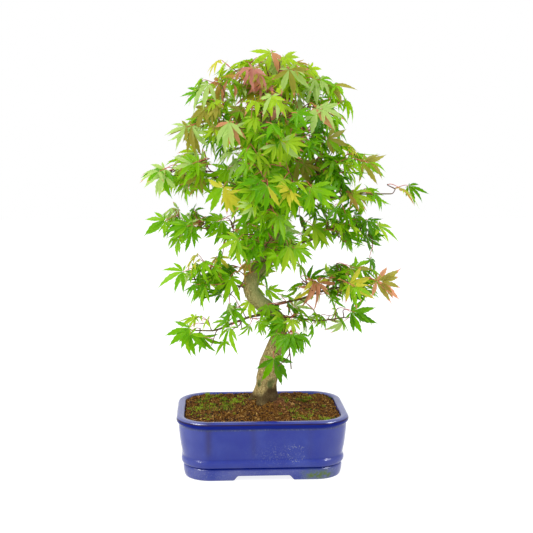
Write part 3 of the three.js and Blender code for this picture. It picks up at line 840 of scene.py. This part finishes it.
def outside(points, shapes, boughs):
    """How far each point is outside all masses, and outside a sleeve round each bough."""
    best = np.full(len(points), 1e9)
    for centre, ways, reach in shapes:
        away = points - centre
        far = np.linalg.norm(away, axis=1)
        nearest = np.argmax(away @ ways.T, axis=1)
        best = np.minimum(best, far - reach[nearest])
    sleeve = boughs[:, 12:].reshape(-1, 3)
    for start in range(0, len(points), 500):
        part = slice(start, start + 500)
        gap = np.linalg.norm(points[part, None] - sleeve[None], axis=2).min(1)
        best[part] = np.minimum(best[part], gap - SLEEVE)
    return best


def away_from_trunk(points):
    """Level directions away from the trunk's line at each point's height, wider to front and back."""
    middle = np.stack([np.interp(points[:, 2], TRUNK_LINE[:, 2], TRUNK_LINE[:, i]) for i in (0, 1)], -1)
    level = (points[:, :2] - middle) * [1.0, 1.5]
    return unit(np.column_stack([level, np.zeros(len(points))]))


def grow_foliage():
    """All boughs, twigs and leaves, as arrays."""
    rng = np.random.default_rng(FOLIAGE_SEED)
    boughs, bough_radii, twigs, radii = [], [], [], []
    leaf = {key: [] for key in ("node", "way", "tint", "mass", "twig")}
    parents = []
    for number, (mass, (bough, mix, sprays)) in enumerate(MASSES.items()):
        solid = corners_of("foliage_" + mass)[0]
        if bough:
            knots, thick, thin = bough_path("bough_" + bough, "foliage_" + mass)
            rows = 40
            line = spline(knots, rows)
            wander = noise(line, 12, 80 + number)[:, None] * unit(rng.normal(0, 1, 3)) * 1.1
            line += wander * np.sin(np.linspace(0, np.pi, rows))[:, None]
            boughs.append(line)
            bough_radii.append(np.interp(np.linspace(0, 5, rows), [0, 1, 3, 5],
                                         [thick * 1.15, thick * 0.85, thin * 0.8, 0.7]))
            core = line[16:]
        else:
            core = spline(TRUNK_LINE[-14:], 24)
        targets = twig_targets(solid, core, sprays, rng)
        lines, carriers = grow_twigs(core, targets, rng)
        first = sum(len(grown) for grown in twigs)
        twigs.append(lines)
        parents.append(np.where(carriers < 0, -1, carriers + first))
        radii.append(twig_radii(carriers, lines.shape[1]))
        names, weights = zip(*MIXES[mix].items())
        weights = np.array(weights) / sum(weights)
        for twig, line in enumerate(lines):
            nodes, ways = spray_leaves(line, rng)
            main, other = rng.choice(len(names), 2, p=weights)
            tints = np.where(rng.random(len(nodes)) < 0.68, main, other)
            leaf["node"] += nodes
            leaf["way"] += ways
            leaf["tint"] += [TINT_NAMES.index(names[i]) for i in tints]
            leaf["mass"] += [number] * len(nodes)
            leaf["twig"] += [first + twig] * len(nodes)
    leaf = {key: np.array(value) for key, value in leaf.items()}
    wood = (np.array(boughs), np.array(bough_radii), np.concatenate(twigs), np.concatenate(radii))
    return *wood, np.concatenate(parents), leaf


def lay_leaves(leaf, standing, shapes, boughs, rng):
    """Where each leaf hangs: its stalk runs out from the node and droops, the blade goes on from the
    stalk's end with its lobes outwards and downwards, and its face turns out and to the light. Each
    leaf takes the first of several such lies that stays in the crown, or drops off."""
    tries = 6
    count = len(leaf["node"])
    stalk = rng.uniform(*STALK_LENGTH, (tries, count, 1)) * np.linspace(1, 0.6, tries)[:, None, None]
    stray = rng.normal(0, 0.3, (tries, count, 3)) * np.arange(tries)[:, None, None] / 3
    way = unit(leaf["way"] * [1, 1, 0.75] + stray)
    outward = away_from_trunk(leaf["node"])
    base = leaf["node"] + way * stalk - UP * stalk * 0.1
    axis = unit(way * 0.7 + outward * 0.4 - UP * rng.uniform(0.15, 1.05, (tries, count, 1))
                + rng.normal(0, 0.22, (tries, count, 3)))
    face = outward * rng.uniform(0.3, 1.0, (tries, count, 1))
    face = face + UP * rng.uniform(0.35, 1.0, (tries, count, 1))
    face = face + rng.normal(0, 0.36, (tries, count, 3))
    face = unit(face - axis * (face * axis).sum(-1, keepdims=True))
    length = rng.uniform(*LEAF_LENGTH, (tries, count, 1))
    tip = base + (axis * 0.95 - face * 0.25) * length
    middle = base + axis * length * 0.45
    beyond = np.maximum(outside(tip.reshape(-1, 3), shapes, boughs) - 2,
                        outside(middle.reshape(-1, 3), shapes, boughs)).reshape(tries, count)
    cost = beyond + 30 * before_trunk(middle) * (rng.random((tries, count)) < 0.85)
    cost += 30 * before_standing(middle, standing) + 30 * (in_sky_opening(middle) | in_sky_opening(tip))
    cost += 30 * (np.maximum(base, tip)[..., 2] > CROWN_TOP - 4)
    taken = np.where((cost < 2).any(0), np.argmax(cost < 2, axis=0), np.argmin(cost, axis=0))
    kept = np.flatnonzero(cost.min(0) < LEAF_EXCESS)
    pick = lambda values: values[taken[kept], kept]
    leaf = {key: value[kept] for key, value in leaf.items()}
    base, axis, stalk, way = pick(base), pick(axis), pick(stalk), pick(way)
    stalk_line = bezier(leaf["node"], leaf["node"] + way * stalk * 0.5, base - axis * stalk * 0.3, base,
                        STALK_ROWS)
    leaf.update(base=base, axis=axis, face=pick(face), length=pick(length)[:, 0], stalk=stalk_line)
    return leaf


# The sky shows between these masses, an upper one and the one under it
SKY_BETWEEN = (("middle_left", "left_tier"), ("left_tier", "lower_left"), ("right_tier", "lower_right"),
               ("lower_left", "hanging_left"), ("lower_right", "hanging_right"))
SKY_HEIGHT = 9.0  # least half height of such an opening, mm


def sky_openings():
    """The middle (x, z) and half size (x, z) of each opening, from the two masses' boxes: as wide as
    most of their overlap, and from the upper one's underside to the lower one's top."""
    openings = []
    for upper, lower in SKY_BETWEEN:
        (left, _, floor), (right, _, _) = (np.array(corner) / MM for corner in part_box("foliage_" + upper))
        low_box = (np.array(corner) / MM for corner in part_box("foliage_" + lower))
        (left_low, _, _), (right_low, _, top) = low_box
        left, right = max(left, left_low), min(right, right_low)
        half = (max((right - left) * 0.36, SKY_HEIGHT), max((floor - top) / 2, SKY_HEIGHT))
        openings.append((np.array([(left + right) / 2, (floor + top) / 2]), np.array(half)))
    return openings


SKY_OPENINGS = sky_openings()


def in_sky_opening(points):
    """True where a point lies in one of the openings, at any depth: the squares of its distance from
    the middle, each over the half size, add up to less than one."""
    inside = np.zeros(points.shape[:-1], bool)
    for middle, half in SKY_OPENINGS:
        inside |= (((points[..., [0, 2]] - middle) / half)**2).sum(-1) < 1
    return inside


def before_standing(points, standing):
    """True where a point would hide the middle of a standing spray's leaf from the front."""
    hides = np.zeros(points.shape[:-1], bool)
    middles = standing["base"] + standing["axis"] * standing["length"][:, None] * 0.5
    for middle, length in zip(middles, standing["length"]):
        near = np.linalg.norm(points[..., [0, 2]] - middle[[0, 2]], axis=-1) < 0.62 * length
        hides |= near & (points[..., 1] < middle[1] + 10)
    return hides


def before_trunk(points):
    """True where a point would hide the trunk's foot, its bend, or its bare stretch near the top."""
    x = np.interp(points[..., 2], TRUNK_LINE[:, 2], TRUNK_LINE[:, 0])
    foot = (points[..., 2] > 60) & (points[..., 2] < 150)
    bend = (points[..., 2] > 184) & (points[..., 2] < 206)
    low = (foot | bend) & (np.abs(points[..., 0] - x) < 19)
    high = (points[..., 2] > 394) & (points[..., 2] < 428) & (np.abs(points[..., 0] - x) < 12)
    return (low | high) & (points[..., 1] < 5)


# Sprays that stand out in front of the masses: how many each mass has, and the tints dealt to them
STANDING = {
    "crown_top": (6, ("pale", "fresh", "coral", "lime", "pink", "olive")),
    "upper_left": (3, ("pale", "olive", "fresh")),
    "upper_right": (2, ("olive", "fresh")),
    "upper_front": (4, ("pale", "coral", "pale", "lime")),
    "middle_left": (3, ("pale", "mid", "fresh")),
    "middle_right": (2, ("fresh", "olive")),
    "middle_front": (3, ("yellow", "fresh", "mid")),
    "right_tip": (2, ("bronze", "lime")),
    "left_tier": (3, ("fresh", "mid")),
    "right_tier": (2, ("lime", "fresh")),
    "low_front": (2, ("lime", "fresh")),
    "lower_left": (2, ("mid", "fresh")),
    "lower_right": (4, ("olive", "coral", "yellow", "fresh")),
    "hanging_left": (2, ("fresh", "mid")),
    "hanging_right": (1, ("mid", "deep")),
    "hanging_front": (1, ("mid", "deep")),
}
STANDING_INSET = 0.8  # a spray's place, as a share of the way from the mass's middle to its surface
STANDING_SWING = 62.0  # this far aside of the trunk, a spray heads half way from down to level, mm
STANDING_LENGTH = (28.0, 35.0)  # middle lobe of a standing spray's first leaf, mm
STANDING_TURN = (45.0, 70.0)  # its other leaves turn this far to the sides, degrees
STANDING_SHARE = 0.78  # and are this much smaller
STANDING_LEVEL = 78.0  # no leaf heads higher than this from straight down, degrees


def lay_standing(growth, rng):
    """The leaves of the standing sprays and the twigs that carry them. The sprays are spread over the
    front of their mass. Each heads down beside the trunk and further outwards away from it: the
    tangent of its heading is its distance aside over the swing. Its first leaf follows the heading and
    the next turn to either side. Each twig leaves the nearest point of the growth, where growth that
    is higher up counts as further, and ends behind and above its blade's foot."""
    places, headings, shares, tints, others = [], [], [], [], []
    for mass, (sprays, dealt) in STANDING.items():
        solid = corners_of("foliage_" + mass)[0]
        centre = (solid.min(0) + solid.max(0)) / 2
        front = solid[solid[:, 1] < centre[1] - 0.25 * (solid[:, 1].max() - centre[1])]
        spots = centre + (spread_points(front, sprays) - centre) * STANDING_INSET + UP * LEAF_LIFT
        for number, spot in enumerate(spots):
            aside = spot[0] - np.interp(spot[2], TRUNK_LINE[:, 2], TRUNK_LINE[:, 0])
            heading = math.degrees(math.atan2(aside, STANDING_SWING)) + rng.normal(0, 10)
            for side in (0, 1, -1)[:rng.integers(1, 4)]:
                places.append(spot)
                turned = heading + side * rng.uniform(*STANDING_TURN)
                headings.append(math.radians(min(max(turned, -STANDING_LEVEL), STANDING_LEVEL)))
                shares.append(STANDING_SHARE if side else 1.0)
                tints.append(TINT_NAMES.index(dealt[number % len(dealt)]))
                others.append(TINT_NAMES.index(dealt[(number + 1) % len(dealt)]))
    heading = np.array(headings)
    axis = np.stack([np.sin(heading), np.full(len(heading), -0.15), -np.cos(heading)], -1)
    axis = unit(axis + rng.normal(0, 0.08, axis.shape))
    side_step = (np.array(shares) < 1)[:, None] * 7.0
    base = np.array(places, float) + axis * side_step
    length = rng.uniform(*STANDING_LENGTH, len(base)) * shares
    flat = 0.7 + 1.4 * smoothstep(430, 465, base[:, 2])  # leaves lie flatter on top of the crown
    face = np.stack([0 * flat, flat * 0 - 1, flat], -1) + rng.normal(0, 0.42, base.shape)
    face = unit(face - axis * (face * axis).sum(1, keepdims=True))
    inward = -away_from_trunk(base)
    node = base + inward * 11 - axis * 3 + UP * np.where(base[:, 2:] > 440, -2, 3)
    above = np.maximum(growth[None, :, 2] - node[:, None, 2], 0)  # twigs seldom grow downwards
    nearest = np.argmin(np.linalg.norm(node[:, None] - growth[None], axis=2) + 1.5 * above, axis=1)
    start = growth[nearest]
    reach = np.linalg.norm(node - start, axis=1, keepdims=True)
    leaving = start + unit(node - start) * reach * 0.4
    twigs = bezier(start, leaving, node + inward * reach * 0.3, node, TWIG_ROWS)
    stalk = bezier(node, node - inward * 4 + UP * 2, base - axis * 4, base, STALK_ROWS)
    return {"base": base, "axis": axis, "face": face, "length": length, "stalk": stalk,
            "tint": np.array(tints), "other": np.array(others)}, twigs, nearest


LOBES = 7
LOBE_ROWS = 12
TIP_ROW = 9  # a lobe's tip starts at this row


def leaf_blades(base, axis, face, length, rng):
    """Palmate blades. Lobe k points at k times the fan angle from the axis and is shorter to the sides.
    Along a lobe the half width is the smaller of t tan(half the fan), where lobes join, and a lance
    shape t^1.38 (1 - t)^1.5 scaled to its width, with teeth on every second row. The blade is folded
    up along each midrib, and droops with the square of the distance. Columns: edge, rib, edge."""
    count = len(base)
    k = np.arange(LOBES) - LOBES // 2
    fan = np.radians(rng.uniform(31, 40, (count, 1)))
    turn = k * fan + rng.normal(0, 0.055, (count, LOBES))
    relative = np.array([0.36, 0.69, 0.92, 1.0, 0.92, 0.69, 0.36]) * rng.uniform(0.9, 1.08, (count, LOBES))
    five = rng.random(count) < 0.35  # these have five lobes, with the last pair only hinted at
    relative[:, [0, -1]] = np.where(five[:, None], 0.2, relative[:, [0, -1]])
    t = np.linspace(0.03, 1, LOBE_ROWS)
    a, b = 1.38, 1.5
    peak = a / (a + b)
    lance = t**a * (1 - t)**b / (peak**a * (1 - peak)**b)
    tooth = 1 + 0.13 * np.where(np.arange(LOBE_ROWS) % 2, 1, -1) * (t > 0.28) * (1 - t * 0.5)
    width = rng.uniform(0.093, 0.13, (count, 1, 1))
    half = np.minimum(width * lance * tooth, t * np.tan(fan / 2)[..., None] * 1.02)
    half = half + 0.004 * (1 - t)
    shift = 0.03 * (np.arange(LOBE_ROWS) % 2) * (t > 0.28)
    size = (length[:, None] * relative)[..., None]
    along = np.stack([t + shift, t, t + shift], -1)[None, None] * size[..., None]
    across = np.stack([-half, half * 0, half], -1) * size[..., None]
    bend = rng.normal(0, 0.13, (count, LOBES, 1, 1)) * t[:, None]**2
    c, s = np.cos(turn)[..., None, None], np.sin(turn)[..., None, None]
    across = across + bend * size[..., None]
    u = along * c - across * s
    v = along * s + across * c
    fold = rng.uniform(0.25, 0.85, (count, 1, 1, 1))
    droop = rng.uniform(0.12, 0.5, (count, 1, 1, 1)) + rng.normal(0, 0.11, (count, LOBES, 1, 1))
    curl = rng.normal(0, 0.10, (count, LOBES, 1, 1))
    radius = np.hypot(u, v)
    scale = length[:, None, None, None]
    rise = np.abs(np.stack([-half, half * 0, half], -1)) * size[..., None] * fold
    lift = rise - droop * radius**2 / scale + curl * along * t[:, None] ** 2
    cup = rng.uniform(-0.15, 0.3, (count, 1, 1, 1))
    lift = lift - cup * v**2 / scale
    third = np.cross(face, axis)
    points = (base[:, None, None, None] + u[..., None] * axis[:, None, None, None]
              + v[..., None] * third[:, None, None, None] + lift[..., None] * face[:, None, None, None])
    return points


def blade_faces(count, rows):
    """Quads of count lobes, each a grid of rows by its edge, rib and edge."""
    one = strip_faces(rows, 3)
    offset = (np.arange(count) * rows * 3)[:, None, None]
    return (one + offset).reshape(-1, 4)


def rib_lines(points, face):
    """The midrib of every lobe as a line a little above the blade, on the side of its face."""
    count = len(points)
    ribs = points[:, :, ::4, 1] + face[:, None, None] * 0.05
    return ribs.reshape(count * LOBES, -1, 3)


def make_plant(bark, twig_bark, stalk_skin, rib_skin):
    """Boughs, twigs, stalks, blades by tint and ribs, each kind joined into its own pieces."""
    boughs, bough_radii, twigs, radii, parents, leaf = grow_foliage()
    rng = np.random.default_rng(LEAF_SEED)
    growth = np.concatenate([twigs.reshape(-1, 3), boughs[:, 10:].reshape(-1, 3), TRUNK_LINE[24:]])
    standing, standing_twigs, roots = lay_standing(growth, rng)
    leaf = lay_leaves(leaf, standing, mass_shapes(), boughs, rng)
    carried = np.concatenate([leaf.pop("twig"), roots[roots < twigs[..., 0].size] // twigs.shape[1]])
    kept = bearing(parents, carried)
    radii = radii[kept]
    twigs = np.concatenate([twigs[kept], standing_twigs])
    standing_radii = np.linspace(0.75, 0.45, TWIG_ROWS)[None] * np.ones((len(standing_twigs), 1))
    radii = np.concatenate([radii, standing_radii])
    names = list(MASSES)
    bough_nodes = [f"bough_{bough}" for bough, _, _ in MASSES.values() if bough]
    points, quads, triangles = tubes(boughs, bough_radii, 12)
    add_piece("bough_bark", points, quads, triangles, bark, "bark", bough_nodes,
              values={"algae": np.full(len(points), 0.15), "damp_and_shade": np.full(len(points), 0.6)})
    add_piece("twig_growth", *tubes(twigs, radii, 7), twig_bark, "twig")

    mass_of = leaf.pop("mass")
    leaf["other"] = leaf["tint"].copy()
    whole = {key: np.concatenate([leaf[key], standing[key]]) for key in standing}
    count = len(whole["base"])
    thin = np.linspace(0.46, 0.32, STALK_ROWS)[None] * np.ones((count, 1))
    add_piece("leaf_stalks", *tubes(whole["stalk"], thin, 5), stalk_skin, "twig")
    blades = leaf_blades(whole["base"], whole["axis"], whole["face"], whole["length"], rng)

    # every lobe in two parts, so that single lobes and tips can turn colour before the rest
    turning = rng.random((count, LOBES)) < 0.4
    lobe_tint = np.where(turning, whole["other"][:, None], whole["tint"][:, None])
    soft_tints = [TINT_NAMES.index(name) for name in ("pale", "olive", "yellow", "lime")]
    blushing = np.isin(whole["tint"], soft_tints)
    blush = (blushing & (rng.random(count) < 0.3))[:, None] & (rng.random((count, LOBES)) < 0.7)
    tip_tint = np.where(blush, TINT_NAMES.index("coral"), lobe_tint)
    parts = ((blades[:, :, :TIP_ROW + 1], lobe_tint), (blades[:, :, TIP_ROW:], tip_tint))
    masses = {}
    for number, tint in zip(mass_of, leaf["tint"]):
        masses.setdefault(names[number], tint)  # the mass is shown by the piece of its first leaf's tint
    for index, (tint, (colour, glow, slot)) in enumerate(TINTS.items()):
        stood_for = [f"foliage_{mass}" for mass, first in masses.items() if first == index]
        material = leaf_material(f"leaf_{tint}", colour, glow)
        for number, (part, tints) in enumerate(parts):
            chosen = part[tints == index]
            if not len(chosen):
                continue
            for piece_number, piece in enumerate(np.array_split(chosen, len(chosen) // PIECE_LOBES + 1)):
                name = f"leaves_{tint}_{('blade', 'tips')[number]}_{piece_number}"
                quads = blade_faces(len(piece), part.shape[2])
                add_piece(name, piece, quads, [], material, slot, stood_for if number == 0 else ())
    lines = rib_lines(blades, whole["face"])
    rib_radii = np.linspace(0.2, 0.05, lines.shape[1])[None] * np.ones((len(lines), 1))
    half_way = len(lines) // 2
    for side, part in (("a", slice(0, half_way)), ("b", slice(half_way, None))):
        add_piece(f"leaf_ribs_{side}", *tubes(lines[part], rib_radii[part], 3), rib_skin, "leaf_pale")


# ---- stage ----

def make_stage():
    """A white sweep and soft light from large panels."""
    material, output = new_material("lit_white_paper")
    paper = add(material, "ShaderNodeBsdfDiffuse", {"Color": linear("#ffffff")})
    glow = add(material, "ShaderNodeEmission", {"Strength": 1.15})
    lit = add(material, "ShaderNodeMixShader", {"Fac": 0.72}, {1: (paper, 0), 2: (glow, 0)})
    finish_material(material, output, lit)
    size = 4000.0
    corners = np.array([[-size, -size, 0], [size, -size, 0], [size, size, 0], [-size, size, 0]])
    mesh = bpy.data.meshes.new("floor")
    mesh.from_pydata((corners * MM).tolist(), [], [(0, 1, 2, 3)])
    mesh.materials.append(material)
    floor = bpy.data.objects.new("floor", mesh)
    bpy.context.scene.collection.objects.link(floor)

    world = bpy.data.worlds.new("white_room")
    world.use_nodes = True
    background = world.node_tree.nodes["Background"]
    background.inputs["Color"].default_value = (1, 1, 1, 1)
    background.inputs["Strength"].default_value = 1.0
    bpy.context.scene.world = world
    bpy.context.scene.view_settings.view_transform = "Standard"

    panels = {  # place in m, aim in m, power in W, side in m
        "key_panel": ((-1.1, -1.5, 1.7), (0, 0, 0.25), 22.0, 1.1),
        "left_strip": ((-1.9, -0.5, 1.5), (0, 0, 0.15), 11.0, 0.4),
        "right_strip": ((1.9, -0.5, 1.5), (0, 0, 0.15), 11.0, 0.4),
        "top_panel": ((0.1, 0.3, 2.2), (0, 0, 0.2), 10.0, 1.4),
        "left_gleam": ((-1.5, -1.1, 1.3), (0, 0, 0.1), 80.0, 0.8),
        "right_gleam": ((1.5, -1.1, 1.3), (0, 0, 0.1), 80.0, 0.8),
    }
    for name, (place, aim, power, side) in panels.items():
        light = bpy.data.lights.new(name, "AREA")
        light.energy = power
        light.size = side
        lamp = bpy.data.objects.new(name, light)
        lamp.location = place
        lamp.visible_diffuse = not name.endswith("gleam")  # a gleam shows on the glaze and lights nothing
        lamp.visible_transmission = lamp.visible_diffuse
        way = np.array(aim) - np.array(place)
        lamp.rotation_euler = (math.acos(-way[2] / np.linalg.norm(way)), 0, math.atan2(-way[0], way[1]))
        bpy.context.scene.collection.objects.link(lamp)


CAMERA = {"distance": 1200.0, "height": 380.3, "aside": 6.3, "turn": 3.08, "down": 6.78, "lens": 69.4}


def make_camera():
    """Eye level a little above the crown's middle, turned slightly to the left of the pot."""
    turn = math.radians(CAMERA["turn"])
    x = CAMERA["aside"] * math.cos(turn) - CAMERA["distance"] * math.sin(turn) + POT_MIDDLE[0]
    y = -CAMERA["aside"] * math.sin(turn) - CAMERA["distance"] * math.cos(turn) + POT_MIDDLE[1]
    data = bpy.data.cameras.new("camera")
    data.lens = CAMERA["lens"]
    data.sensor_width = 36.0
    camera = bpy.data.objects.new("camera", data)
    camera.location = (x * MM, y * MM, CAMERA["height"] * MM)
    camera.rotation_euler = (math.radians(90 - CAMERA["down"]), 0, -turn)
    bpy.context.scene.collection.objects.link(camera)
    bpy.context.scene.camera = camera


# ---- assembly ----

make_camera()
make_stage()
make_pot(glaze_material())
make_soil(soil_material())
scatter = np.random.default_rng(SCATTER_SEED)
make_moss("moss_tufts", leaf_material("moss", "#9fb634", "#d2ea50"), 820, scatter)
make_moss("moss_shaded_tufts", leaf_material("moss_shaded", "#5c7818", "#8cac2a"), 520, scatter)
for name, colour, count, size in (("damp_granules", "#241204", 1200, (0.7, 1.8)),
                                  ("clay_granules", "#5c3611", 1000, (0.7, 1.8)),
                                  ("bark_chips", "#7e5620", 1000, (0.7, 2.3)),
                                  ("dry_flakes", "#b48f4c", 300, (0.5, 2.0)),
                                  ("leaf_litter", "#9c763c", 60, (2.0, 3.6))):
    make_debris(name, skin_material(name, colour, 0.9), count, size, scatter, "soil")
make_root_fibres(skin_material("root_skin", "#6e4118", 0.7), scatter)
bark = bark_material()
make_trunk(bark)
make_plant(bark, skin_material("twig_bark", "#643d29", 0.6), skin_material("stalk_skin", "#bf6150", 0.5),
           skin_material("rib_skin", "#9cb84e", 0.5))
